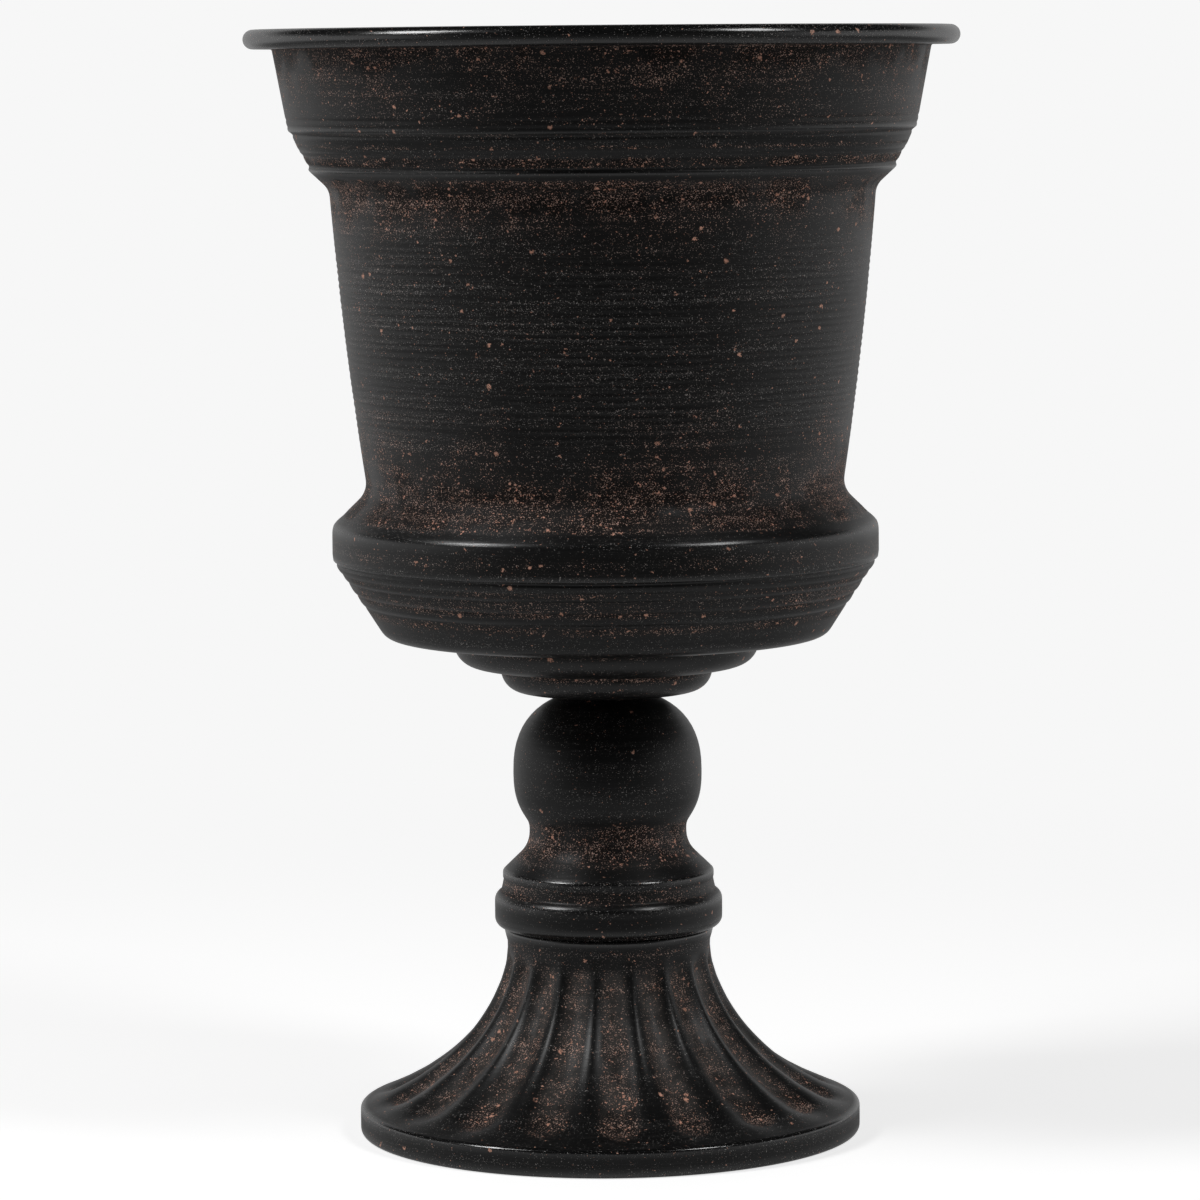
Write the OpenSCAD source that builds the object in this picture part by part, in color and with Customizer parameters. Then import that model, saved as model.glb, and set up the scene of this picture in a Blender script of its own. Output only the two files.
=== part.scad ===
/* [Bowl sheet and rim] */
// Thickness of the bowl's sheet iron
bowl_sheet = 1.2; // [0.9:0.1:1.5]
// Diameter over the rolled bead of the rim
rim_d = 256.6; // [254:0.2:266]
// Thickness of the rolled bead
bead_d = 7; // [6:0.2:8]
// Diameter of the wall right under the rim
mouth_d = 236; // [232:0.5:238]

/* [Bowl band and shelves] */
// Height of the plain band under the rim
band_h = 29.8; // [24:0.2:36]
// Diameter at the lower edge of the plain band
band_foot_d = 225.2; // [224:0.2:228]
// Height of the upper shelf under the band
upper_shelf_h = 7.1; // [5:0.1:9]
// Diameter of the ridge between the two shelves
ridge_d = 216.6; // [215:0.2:218.6]
// Height of the lower shelf
lower_shelf_h = 5.8; // [4.5:0.1:8]
// Diameter at the lower edge of the lower shelf
shelf_foot_d = 211; // [209:0.2:212]
// Height of the cove between the shelves and the waist
cove_h = 7.4; // [6:0.1:9]

/* [Bowl waist and belt] */
// Diameter at the top of the waist
waist_top_d = 196.3; // [190:0.2:200]
// Height of the tapered waist
waist_h = 108.7; // [80:0.5:140]
// Diameter at the foot of the waist
waist_foot_d = 171.4; // [166:0.2:176]
// How far the waist's side bows out of a straight line
waist_bow = 1; // [0.2:0.1:2]
// Height of the sloped shoulder over the belt
shoulder_h = 8.4; // [7:0.1:11]
// Diameter where the shoulder meets the belt
shoulder_d = 188.6; // [187:0.2:190]
// Diameter of the belt
belt_d = 197.3; // [196:0.1:202]
// Height of the belt
belt_h = 17.2; // [12:0.2:22]

/* [Bowl underside] */
// Height of the stepped cup under the belt
cup_h = 27.4; // [22:0.2:36]
// Diameter of the cup at its lower edge
cup_foot_d = 159.5; // [154:0.5:166]
// Diameter of the upper disc under the cup
high_disc_d = 110.5; // [104:0.5:120]
// Height of the upper disc
high_disc_h = 10.8; // [9.6:0.1:13]
// Diameter of the lower disc
low_disc_d = 76.6; // [74:0.2:84]
// Height of the lower disc
low_disc_h = 9.4; // [9:0.1:13]
// Number of drain holes in the lower disc
drain_count = 3; // [2:1:6]
// Diameter of a drain hole
drain_d = 6; // [4:0.5:7]
// Diameter of the circle that the drain holes stand on
drain_circle_d = 47; // [45:0.5:50]

/* [Stem] */
// Thickness of the stem's sheet iron
stem_sheet = 1.2; // [0.9:0.1:1.6]
// Height of the stem
stem_h = 84.5; // [83.5:0.1:92]
// Diameter of the ball
ball_d = 68.4; // [66:0.2:69]
// Height of the ball over its widest place
ball_top_h = 28.2; // [27:0.2:30]
// Height of the ball under its widest place, were it whole
ball_low_h = 27.2; // [26:0.2:28.2]
// Diameter of the flat on top of the ball
ball_flat_d = 31; // [30:0.2:34]
// Diameter of the neck under the ball
neck_d = 57; // [54:0.2:58]
// Diameter of the small collar
collar_d = 76.7; // [75:0.1:78]
// Height of the small collar
collar_h = 2.2; // [1.8:0.1:2.6]
// Diameter of the groove between collar and torus
link_d = 76.1; // [74:0.1:76.2]
// Height between torus and collar
link_h = 6.3; // [5.4:0.1:6.6]
// Diameter of the torus
torus_d = 82.7; // [80:0.1:86]
// Height of the torus
torus_h = 12; // [10:0.1:12.4]

/* [Foot] */
// Thickness of the foot's sheet iron
foot_sheet = 1.2; // [1:0.1:1.5]
// Height of the foot up to the stem
foot_h = 75; // [72:0.5:84]
// Diameter of the foot's neck
foot_neck_d = 73.8; // [72:0.2:76]
// Diameter of the foot ring
ring_d = 182.1; // [178:0.1:200]
// Height of the foot ring
ring_h = 8.9; // [8:0.1:10.5]
// Width of the edge that is turned in under the foot ring
hem_w = 5.5; // [4:0.1:8]
// Width of the plain border between flutes and foot ring
border_w = 5.9; // [5:0.1:8]
// Height of the plain border over the top of the foot ring
border_h = 3.7; // [2.8:0.1:4.6]
// Number of flutes
flute_count = 18; // [12:1:20]
// Depth of a flute
flute_depth = 2.8; // [1.5:0.1:3.6]

/* [Clamp hardware] */
// Diameter of the tie rod
rod_d = 8; // [6:0.5:10]
// How far the rod stands out of each nut
rod_end = 4; // [2:0.5:8]
// Width of a nut across its flats
nut_flats = 13; // [12:0.5:16]
// Height of a nut
nut_h = 6.5; // [5:0.1:8]
// Diameter of the steel washer in the bowl
top_washer_d = 30; // [24:0.5:36]
// Thickness of the steel washer in the bowl
top_washer_t = 1.6; // [1.2:0.1:3]
// Diameter of the rubber sealing washer
seal_d = 28; // [20:0.5:32]
// Thickness of the rubber sealing washer
seal_t = 2; // [1:0.1:3]
// Diameter of the rubber pad between bowl and stem
gasket_d = 30; // [24:0.5:31]
// Thickness of the rubber pad between bowl and stem
gasket_t = 1.5; // [1:0.1:2.5]
// Thickness of the clamp plate in the foot
plate_t = 4; // [3:0.1:6]
// Outside diameter of the spring washer
spring_d = 14.8; // [14:0.1:16]
// Thickness of the spring washer
spring_t = 2; // [1.6:0.1:2.6]

/* [Hidden] */
$fn = 128;

// Fits
overrun = 1;
rod_clear = 0.3;
thread_clear = 0.06;
spigot_clear = 0.4;
plate_clear = 0.8;

// Roundings and creases. A bend turns by arc_step or less, and a flat lies within arc_sag of its arc
arc_step = 15;
arc_sag = 0.03;
least_turn = 0.01;
least_side = 0.001;
high_disc_round = 8.6;
low_disc_round = 8.8;
root_round = 1.5;
cup_round = 5.6;
ledge_depth = 0.55;
ledge_w = 0.4;
ledge_round = 0.5;
ledge_shares = [0.45, 0.61, 0.775, 0.895];
crease_w = 0.6;
crease_depth = 0.5;
crease_round = 0.3;
belt_edge = 0.9;
belt_sink = 0.8;
belt_drop = 3.6;
belt_low_round = 0.8;
belt_top_round = 3;
shoulder_round = 9;
bow_share = 0.9;
cove_round = 7;
inner_round = 3;
mouth_round = 0.8;
bead_gap = 1;

torus_low_round = 3.6;
torus_top_round = 5.8;
link_slope = 0.9;
link_rise = 1.3;
link_round = 1.5;
collar_sink = 0.8;
collar_low_round = 0.5;
collar_top_round = 1.1;
bell_slope = 44;
bell_round = 11;
neck_round = 6;
neck_end_z_share = 0.68;
neck_ball_share = 0.9;
ball_square = 2.45;
ball_step = 6;

// Foot: handles of the curve from neck to border, spigot and ring
neck_drop = 5;
neck_flare = 1.4;
neck_pull = 13;
brim_pull = 41;
brim_slope = 22;
spigot_d = 61;
spigot_h = 2.4;
spigot_round = 1.6;
seat_round = 1.2;
hem_round = 1.7;
lip_round = 3.2;
lip_w = 3.3;
lip_drop = 0.6;
border_round = 4;
tuck = 0.3;
curve_points = 4;
neck_end_share = 0.06;
brim_end_share = 0.975;
flute_top_share = 0.13;
flute_low_share = 0.965;
flute_arch_share = 0.06;
flute_width_share = 0.7;
flute_turn = 2.4;
across_shares = [-1, -0.7, -0.35, 0, 0.35, 0.7];
down_shares = [0.045, 0.07, 0.13, 0.155, 0.19, 0.3, 0.44, 0.58, 0.72, 0.84, 0.92, 0.955, 0.968, 0.985];

chamfer = 0.8;
spring_gap = 1.6;

// Heights of the stack, from the ground up
spigot_z = foot_h + spigot_h;
stem_top_z = foot_h + stem_h;
bowl_z = stem_top_z + gasket_t;
high_disc_z = bowl_z + low_disc_h;
cup_z = high_disc_z + high_disc_h;
belt_z = cup_z + cup_h;
shoulder_z = belt_z + belt_h;
waist_z = shoulder_z + shoulder_h;
cove_z = waist_z + waist_h;
shelf_z = cove_z + cove_h;
ridge_z = shelf_z + lower_shelf_h;
band_z = ridge_z + upper_shelf_h;
rim_z = band_z + band_h;
floor_z = bowl_z + bowl_sheet;
top_washer_z = floor_z + seal_t;
top_nut_z = top_washer_z + top_washer_t;
rod_top_z = top_nut_z + nut_h + rod_end;
plate_z = spigot_z - foot_sheet - plate_t;
spring_z = plate_z - spring_t;
bottom_nut_z = spring_z - nut_h;
rod_low_z = bottom_nut_z - rod_end;
rod_hole_r = rod_d / 2 + rod_clear;
plate_r = spigot_d / 2 - foot_sheet - plate_clear;

// A profile is a list of corners: radius, height, rounding. Its inner side lies on its left.
function place(c) = [c[0], c[1]];
function unit(v) = v / norm(v);
function left_of(v) = [-v[1], v[0]];
function run_in(c, i) = unit(place(c[max(i, 1)]) - place(c[max(i, 1) - 1]));
function run_out(c, i) = unit(place(c[min(i, len(c) - 2) + 1]) - place(c[min(i, len(c) - 2)]));
function cross_of(a, b) = a[0] * b[1] - a[1] * b[0];
function turn_at(c, i) = acos(max(-1, min(1, run_in(c, i) * run_out(c, i))));

// The same profile, moved to its left by t
function inset(c, t) = [for (i = [0:len(c) - 1])
    let (a = left_of(run_in(c, i)), b = left_of(run_out(c, i)), m = (a + b) / (1 + a * b))
    [c[i][0] + t * m[0], c[i][1] + t * m[1], max(0, c[i][2] + (cross_of(a, b) > 0 ? -t : t))]];

// How much of its two sides a rounded corner takes, cut back where neighbours would meet
function want(c, i) = i <= 0 || i >= len(c) - 1 ? 0 : c[i][2] * tan(turn_at(c, i) / 2);
function side_fit(c, i) = norm(place(c[i]) - place(c[i - 1])) / max(want(c, i) + want(c, i - 1), least_side);
function taken(c, i) = want(c, i) * min(1, side_fit(c, i), side_fit(c, i + 1));

function corner_arc(c, i) = let (
        p = place(c[i]), a = -run_in(c, i), b = run_out(c, i), turn = turn_at(c, i),
        r = taken(c, i) / tan(turn / 2), m = p + unit(a + b) * r / cos(turn / 2),
        s = p + a * taken(c, i) - m, way = cross_of(-a, b) > 0 ? 1 : -1,
        n = max(1, ceil(turn / min(arc_step, 2 * acos(1 - arc_sag / max(r, arc_sag))))))
    [for (k = [0:n]) let (w = way * turn * k / n)
        m + [s[0] * cos(w) - s[1] * sin(w), s[0] * sin(w) + s[1] * cos(w)]];

function rounded(c) = [for (i = [0:len(c) - 1])
    each i == 0 || i == len(c) - 1 || c[i][2] <= 0 || turn_at(c, i) < least_turn
        ? [place(c[i])] : corner_arc(c, i)];

function flipped(v) = [for (i = [len(v) - 1:-1:0]) v[i]];
module turned(outer, inner) {
    rotate_extrude() polygon(concat(outer, flipped(inner)));
}

// Bowl: one spun sheet from the bolt hole to the rolled bead
waist_mid = [(waist_foot_d + waist_top_d) / 4 + 2 * waist_bow, waist_z + waist_h / 2];
waist_round = bow_share * pow(waist_h, 2) / (8 * waist_bow);
cup_top_d = belt_d - 2 * belt_sink;

function disc_corners() = [
    [rod_hole_r, bowl_z, 0],
    [low_disc_d / 2, bowl_z, low_disc_round],
    [low_disc_d / 2, high_disc_z, root_round],
    [high_disc_d / 2, high_disc_z, high_disc_round],
    [high_disc_d / 2, cup_z, root_round],
    [cup_foot_d / 2, cup_z, cup_round]];

function ledge_corners() = [for (s = ledge_shares)
    let (r = (cup_foot_d + (cup_top_d - cup_foot_d) * s) / 2, z = cup_z + cup_h * s)
    each [[r - ledge_depth, z - ledge_w, ledge_round], [r + ledge_depth / 2, z + ledge_w / 2, ledge_round]]];

function belt_corners() = [
    [belt_d / 2, shoulder_z - belt_drop, belt_top_round],
    [shoulder_d / 2, shoulder_z - crease_w / 2, crease_round],
    [shoulder_d / 2 - crease_depth / 2, shoulder_z + crease_w / 2, crease_round]];

function waist_corners() = [
    [waist_foot_d / 2, waist_z, shoulder_round],
    [waist_mid[0], waist_mid[1], waist_round],
    [waist_top_d / 2, cove_z, cove_round]];

function shelf_corners() = [
    [shelf_foot_d / 2 + crease_depth / 2, shelf_z - crease_w / 2, crease_round],
    [shelf_foot_d / 2 - crease_depth / 2, shelf_z + crease_w / 2, crease_round],
    [ridge_d / 2 - crease_depth, ridge_z - crease_w / 2, crease_round],
    [ridge_d / 2 + crease_depth / 2, ridge_z + crease_w / 2, ledge_round],
    [band_foot_d / 2 - 2 * crease_depth, band_z, crease_round],
    [band_foot_d / 2, band_z + crease_w, ledge_round]];

function rim_corners() = [
    [mouth_d / 2, rim_z, mouth_round],
    [rim_d / 2, rim_z, bead_d / 2],
    [rim_d / 2, rim_z + bead_d, bead_d / 2],
    [rim_d / 2 - bead_d, rim_z + bead_d, bead_d / 2],
    [rim_d / 2 - bead_d, rim_z + bowl_sheet + bead_gap, 0]];

function bowl_outside() = rounded(concat(
    disc_corners(), ledge_corners(),
    [[cup_top_d / 2, belt_z, crease_round], [belt_d / 2, belt_z + belt_edge, belt_low_round]],
    belt_corners(), waist_corners(), shelf_corners(), rim_corners()));

function bowl_inside() = rounded(inset(concat(
    disc_corners(), [[belt_d / 2, belt_z + belt_edge, inner_round]],
    belt_corners(), waist_corners(),
    [[shelf_foot_d / 2, shelf_z, inner_round], [band_foot_d / 2, band_z + crease_w, inner_round]],
    rim_corners()), bowl_sheet));

module bowl() {
    color("#2c2b2a") difference() {
        turned(bowl_outside(), bowl_inside());
        for (k = [1:drain_count])
            rotate([0, 0, 360 * k / drain_count])
                translate([drain_circle_d / 2, 0, bowl_z - overrun])
                    cylinder(d = drain_d, h = bowl_sheet + 2 * overrun);
    }
}

// Stem: one hollow shell from its turned-in lower edge to the flat on the ball
ball_z = stem_top_z - ball_top_h;
collar_z = foot_h + torus_h + link_h;
bell_z = collar_z + collar_h + (collar_d - neck_d) / 2 * tan(bell_slope);

// The ball is a little squarer than a round one
function side_share(x) = pow(1 - pow(x, ball_square), 1 / ball_square);
ball_rise = ball_top_h / side_share(ball_flat_d / ball_d);
neck_z = ball_z - neck_end_z_share * ball_low_h;
function ball_point(w) = [ball_d / 2 * pow(cos(w), 2 / ball_square),
    ball_z + (w < 0 ? -ball_low_h : ball_rise) * pow(abs(sin(w)), 2 / ball_square), 0];
function ball_angle(x) = acos(pow(x, ball_square / 2));
ball_from = -ball_angle(neck_ball_share);
ball_to = ball_angle(ball_flat_d / ball_d);

function stem_corners() = concat([
    [spigot_d / 2 + spigot_clear, foot_h, 0],
    [torus_d / 2, foot_h, torus_low_round],
    [torus_d / 2, foot_h + torus_h, torus_top_round],
    [link_d / 2 + link_slope, foot_h + torus_h + link_rise, link_round],
    [link_d / 2, collar_z - collar_sink, collar_low_round],
    [collar_d / 2, collar_z, collar_low_round],
    [collar_d / 2, collar_z + collar_h, collar_top_round],
    [neck_d / 2, bell_z, bell_round],
    [neck_d / 2, neck_z, neck_round]],
    [for (k = [0:ball_step]) ball_point(ball_from * (1 - k / ball_step))],
    [for (k = [1:2 * ball_step]) ball_point(ball_to * k / (2 * ball_step))],
    [[rod_hole_r, stem_top_z, 0]]);

function stem_side(t) = rounded(inset(stem_corners(), t));

module stem() {
    color("#2a2928") turned(stem_side(0), stem_side(stem_sheet));
}

// Foot: the curve runs from the neck, share 0, to the plain border, share 1
brim_r = ring_d / 2 - border_w;
brim_z = ring_h + border_h;
curve = [[foot_neck_d / 2, foot_h - neck_drop],
         [foot_neck_d / 2, foot_h - neck_drop - neck_pull],
         [brim_r - brim_pull * cos(brim_slope), brim_z + brim_pull * sin(brim_slope)],
         [brim_r, brim_z]];
function cove(u) = pow(1 - u, 3) * curve[0] + 3 * pow(1 - u, 2) * u * curve[1]
    + 3 * (1 - u) * u * u * curve[2] + pow(u, 3) * curve[3];
function cove_run(u) = unit(pow(1 - u, 2) * (curve[1] - curve[0])
    + 2 * (1 - u) * u * (curve[2] - curve[1]) + u * u * (curve[3] - curve[2]));
function cove_corner(u) = concat(cove(u), [0]);

function ring_corners() = concat(
    [[ring_d / 2 - hem_w, 0, 0],
     [ring_d / 2, 0, hem_round],
     [ring_d / 2, ring_h, lip_round],
     [ring_d / 2 - lip_w, ring_h - lip_drop, crease_round],
     [brim_r, brim_z, border_round]],
    [cove_corner(brim_end_share)]);

function neck_corners() = concat(
    [for (k = [curve_points:-1:0]) cove_corner(neck_end_share * k / curve_points)],
    [[foot_neck_d / 2 + neck_flare, foot_h, seat_round],
     [spigot_d / 2, foot_h, crease_round],
     [spigot_d / 2, spigot_z, spigot_round],
     [rod_hole_r, spigot_z, 0]]);

// A flute fades in and out in a round arch, and is a shallow round trough across
function rise(x) = x <= 0 ? 0 : x >= 1 ? 1 : sqrt(1 - pow(1 - x, 2));
function flute_reach(u) = min(rise((u - flute_top_share) / flute_arch_share),
                              rise((flute_low_share - u) / flute_arch_share));
function flute_sink(u, s) = let (e = flute_reach(u))
    e <= 0 ? 0 : flute_depth * e * max(0, 1 - pow(s / (flute_width_share * e), 2));

// One ring of points round the foot, at depth t in from the outer face
function ring_points(u, t) = [for (k = [0:flute_count - 1], s = across_shares)
    let (w = flute_turn + 360 * (k + s / 2) / flute_count, d = cove_run(u), in = t + flute_sink(u, s),
         p = cove(u) + in * [d[1], -d[0]])
    [p[0] * sin(w), -p[0] * cos(w), p[1]]];

function end_tuck(j) = j == 0 || j == len(down_shares) - 1 ? tuck : 0;
function rows() = concat(
    [for (j = [0:len(down_shares) - 1]) ring_points(down_shares[j], end_tuck(j))],
    [for (j = [len(down_shares) - 1:-1:0]) ring_points(down_shares[j], foot_sheet - end_tuck(j))]);

module fluted_wall() {
    all_rows = rows();
    round = flute_count * len(across_shares);
    count = len(all_rows);
    faces = [for (j = [0:count - 1], k = [0:round - 1])
        let (a = j * round + k, b = j * round + (k + 1) % round,
             c = ((j + 1) % count) * round + (k + 1) % round, d = ((j + 1) % count) * round + k)
        each [[a, b, c], [a, c, d]]];
    polyhedron(points = [for (r = all_rows) each r], faces = faces);
}

module foot() {
    color("#2c2b2a") union() {
        turned(rounded(ring_corners()), rounded(inset(ring_corners(), foot_sheet)));
        turned(rounded(neck_corners()), rounded(inset(neck_corners(), foot_sheet)));
        fluted_wall();
    }
}

// Clamp hardware on the axis
module tie_rod() {
    color("#b9bcc0") rotate_extrude() polygon([
        [0, rod_low_z], [rod_d / 2 - chamfer, rod_low_z], [rod_d / 2, rod_low_z + chamfer],
        [rod_d / 2, rod_top_z - chamfer], [rod_d / 2 - chamfer, rod_top_z], [0, rod_top_z]]);
}

module hex_nut(z) {
    corner_r = nut_flats / (2 * cos(30));
    translate([0, 0, z]) difference() {
        intersection() {
            cylinder(r = corner_r, h = nut_h, $fn = 6);
            rotate_extrude() polygon([
                [0, 0], [corner_r - chamfer, 0], [corner_r, chamfer / 2],
                [corner_r, nut_h - chamfer / 2], [corner_r - chamfer, nut_h], [0, nut_h]]);
        }
        translate([0, 0, -overrun]) cylinder(r = rod_d / 2 + thread_clear, h = nut_h + 2 * overrun);
    }
}

module disc_with_hole(z, d, t) {
    translate([0, 0, z]) difference() {
        cylinder(d = d, h = t);
        translate([0, 0, -overrun]) cylinder(r = rod_hole_r, h = t + 2 * overrun);
    }
}

module top_nut() { color("#c2c4c6") hex_nut(top_nut_z); }
module bottom_nut() { color("#c2c4c6") hex_nut(bottom_nut_z); }
module top_washer() { color("#c8cacc") disc_with_hole(top_washer_z, top_washer_d, top_washer_t); }
module sealing_washer() { color("#1d1d1d") disc_with_hole(floor_z, seal_d, seal_t); }
module bowl_gasket() { color("#1d1d1d") disc_with_hole(stem_top_z, gasket_d, gasket_t); }
module clamp_plate() { color("#8f9296") disc_with_hole(plate_z, 2 * plate_r, plate_t); }

module spring_washer() {
    color("#a9acb0") difference() {
        disc_with_hole(spring_z, spring_d, spring_t);
        translate([0, -spring_gap / 2, spring_z - overrun])
            cube([spring_d, spring_gap, spring_t + 2 * overrun]);
    }
}

bowl();
stem();
foot();
tie_rod();
top_nut();
top_washer();
sealing_washer();
bowl_gasket();
clamp_plate();
spring_washer();
bottom_nut();
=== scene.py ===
import math

import bmesh
import bpy
import numpy as np
from mathutils import Matrix, Vector, noise


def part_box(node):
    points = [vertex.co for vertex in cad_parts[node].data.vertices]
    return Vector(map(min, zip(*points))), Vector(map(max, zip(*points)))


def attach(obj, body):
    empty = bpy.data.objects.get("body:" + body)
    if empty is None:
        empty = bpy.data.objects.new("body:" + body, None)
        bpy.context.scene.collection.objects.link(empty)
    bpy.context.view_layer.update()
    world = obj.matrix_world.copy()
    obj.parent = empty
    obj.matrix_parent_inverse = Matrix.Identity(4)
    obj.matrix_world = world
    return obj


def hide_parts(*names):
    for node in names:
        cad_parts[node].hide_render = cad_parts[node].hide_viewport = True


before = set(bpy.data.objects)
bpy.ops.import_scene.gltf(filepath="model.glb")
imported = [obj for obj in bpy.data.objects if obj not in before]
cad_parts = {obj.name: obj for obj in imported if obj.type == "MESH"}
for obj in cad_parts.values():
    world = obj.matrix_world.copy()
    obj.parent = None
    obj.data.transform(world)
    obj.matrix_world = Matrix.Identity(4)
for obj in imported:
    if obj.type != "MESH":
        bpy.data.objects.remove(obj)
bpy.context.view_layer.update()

weld = 2e-6  # corners nearer than this count as one
print("frame:", ", ".join(sorted(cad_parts)))


# Mesh helpers

def everything(bm):
    return bm.verts[:] + bm.edges[:] + bm.faces[:]


def turnAll(bm, angle):  # about the axis
    bmesh.ops.rotate(bm, verts=bm.verts, cent=(0, 0, 0), matrix=Matrix.Rotation(angle, 3, "Z"))


def spin(bm, angle, steps, rise=0.0, copies=False):  # sweeps all there is round the axis, or copies it
    bmesh.ops.spin(bm, geom=everything(bm), cent=(0, 0, 0), axis=(0, 0, 1), dvec=(0, 0, rise), angle=angle,
                   steps=steps, use_merge=False, use_duplicate=copies)


def spinSectors(bm, sectors, perSector):  # one sector is swept, then copied round
    sector = 2 * math.pi / sectors
    spin(bm, sector, perSector)
    spin(bm, sector * (sectors - 1), sectors - 1, copies=True)


def meshFrom(name, bm):
    mesh = bpy.data.meshes.new(name)
    bm.to_mesh(mesh)
    bm.free()
    return mesh


def addObject(name, data):
    thing = bpy.data.objects.new(name, data)
    bpy.context.scene.collection.objects.link(thing)
    return thing


def finishPiece(name, bm, slotName, *nodeNames):
    bmesh.ops.remove_doubles(bm, verts=bm.verts, dist=weld)
    bmesh.ops.recalc_face_normals(bm, faces=bm.faces)
    mesh = meshFrom(name, bm)
    mesh.shade_smooth()
    piece = addObject(name, mesh)
    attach(piece, "root")
    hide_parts(*nodeNames)
    print(name, len(mesh.polygons), "faces")
    return piece


def readPlaces(mesh):
    places = np.empty(len(mesh.vertices) * 3, np.float32)
    mesh.vertices.foreach_get("co", places)
    return places.reshape(-1, 3).astype(float)


def writePlaces(mesh, places):
    mesh.vertices.foreach_set("co", places.astype(np.float32).ravel())
    mesh.update()


def addTo(mesh, name, extra):  # adds to a named value of the mesh's corners, within 0 to 1
    if name not in mesh.attributes:
        mesh.attributes.new(name, "FLOAT", "POINT")
    values = np.empty(len(mesh.vertices), np.float32)
    mesh.attributes[name].data.foreach_get("value", values)
    mesh.attributes[name].data.foreach_set("value", np.clip(values + extra, 0, 1).astype(np.float32))


def ramp(value, low, high):  # 0 at low, 1 at high, with soft ends
    share = np.clip((value - low) / (high - low), 0, 1)
    return share * share * (3 - 2 * share)


def noiseAt(places, seed):
    return np.array([noise.noise(Vector(p) + Vector((seed, seed, seed))) for p in places])


# Outlines: half a node's section, cut from the frame, softened while flat and then spun

def cutOutline(nodeName, degrees=0.0):
    bm = bmesh.new()
    bm.from_mesh(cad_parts[nodeName].data)
    bmesh.ops.remove_doubles(bm, verts=bm.verts, dist=weld)
    turnAll(bm, math.radians(-degrees))
    bmesh.ops.bisect_plane(bm, geom=everything(bm), dist=weld, plane_co=(0, 0, 0), plane_no=(0, 1, 0),
                           clear_inner=True, clear_outer=True)
    bmesh.ops.delete(bm, geom=[v for v in bm.verts if v.co.x < -weld], context="VERTS")
    return bm


def walkLoop(bm):
    first = min(bm.verts, key=lambda v: (round(v.co.x, 6), v.co.z))
    loop, edge = [first], first.link_edges[0]
    while edge.other_vert(loop[-1]) != first:
        loop.append(edge.other_vert(loop[-1]))
        edge = next(e for e in loop[-1].link_edges if e != edge)
    return np.array([(v.co.x, v.co.z) for v in loop])


def measureRing(ring):  # each stretch's length, and how far along the ring each corner lies
    lengths = np.linalg.norm(np.roll(ring, -1, axis=0) - ring, axis=1)
    return lengths, np.concatenate([[0], np.cumsum(lengths)[:-1]])


def roundRing(ring, step, crispTurn=24.0):  # curves through the corners, except where they turn sharply
    run = np.roll(ring, -1, axis=0) - ring
    lengths = np.linalg.norm(run, axis=1)
    ring, run, lengths = ring[lengths > weld], run[lengths > weld], lengths[lengths > weld]
    way = run / lengths[:, None]
    wayIn, lengthIn = np.roll(way, 1, axis=0), np.roll(lengths, 1)
    crisp = np.sum(way * wayIn, axis=1) < math.cos(math.radians(crispTurn))
    blend = wayIn * (lengthIn ** 2)[:, None] + way * (lengths ** 2)[:, None]
    blend /= np.linalg.norm(blend, axis=1)[:, None]
    leave = np.where(crisp[:, None], way, blend)
    arrive = np.roll(np.where(crisp[:, None], wayIn, blend), -1, axis=0)
    ahead = np.roll(ring, -1, axis=0)
    places = []
    for k, length in enumerate(lengths):
        t = np.arange(0, 1, 1 / math.ceil(length / step))[:, None]
        places.append((2 * t ** 3 - 3 * t ** 2 + 1) * ring[k]
                      + (t ** 3 - 2 * t ** 2 + t) * length * leave[k]
                      + (3 * t ** 2 - 2 * t ** 3) * ahead[k]
                      + (t ** 3 - t ** 2) * length * arrive[k])
    return np.concatenate(places)


def smoothRing(ring, reach):  # the ring averaged over a reach on either side
    lengths, along = measureRing(ring)
    apart = np.abs(along[:, None] - along[None, :])
    apart = np.minimum(apart, lengths.sum() - apart)
    reach = np.broadcast_to(reach, len(ring))[:, None]
    pull = np.exp(-(apart / reach) ** 2) * (lengths + np.roll(lengths, 1)) / 2
    return pull @ ring / pull.sum(axis=1)[:, None]


def outwardOf(ring):
    run = np.roll(ring, -1, axis=0) - np.roll(ring, 1, axis=0)
    ahead = np.roll(ring, -1, axis=0)
    turned = np.sign(np.sum(ring[:, 0] * ahead[:, 1] - ahead[:, 0] * ring[:, 1]))
    return turned * np.stack([run[:, 1], -run[:, 0]], axis=1) / np.linalg.norm(run, axis=1)[:, None]


def wearOf(ring, wear, plain):  # dust gathers in hollows, and edges are rubbed clean
    outward = outwardOf(ring)
    near, wide = (((smoothRing(ring, reach) - ring) * outward).sum(axis=1) / reach
                  for reach in (wear["nearReach"], wear["wideReach"]))
    dust = plain + wear["nearGain"] * near + wear["wideGain"] * wide
    return np.clip(dust, 0, 1), np.clip(-wear["rubGain"] * near - wear["rubFrom"], 0, 1)


def thinRing(ring, longest, mostTurn=4.0):  # leaves out corners that the shape doesn't need
    run = np.roll(ring, -1, axis=0) - ring
    way = np.degrees(np.arctan2(run[:, 1], run[:, 0]))
    kept, sinceLength, sinceTurn = [0], 0.0, 0.0
    for k in range(1, len(ring)):
        sinceLength += math.hypot(*run[k - 1])
        sinceTurn += abs((way[k] - way[k - 1] + 180) % 360 - 180)
        if sinceTurn > mostTurn or sinceLength + math.hypot(*run[k]) > longest(ring[k]):
            kept.append(k)
            sinceLength, sinceTurn = 0.0, 0.0
    return np.array(kept)


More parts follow.
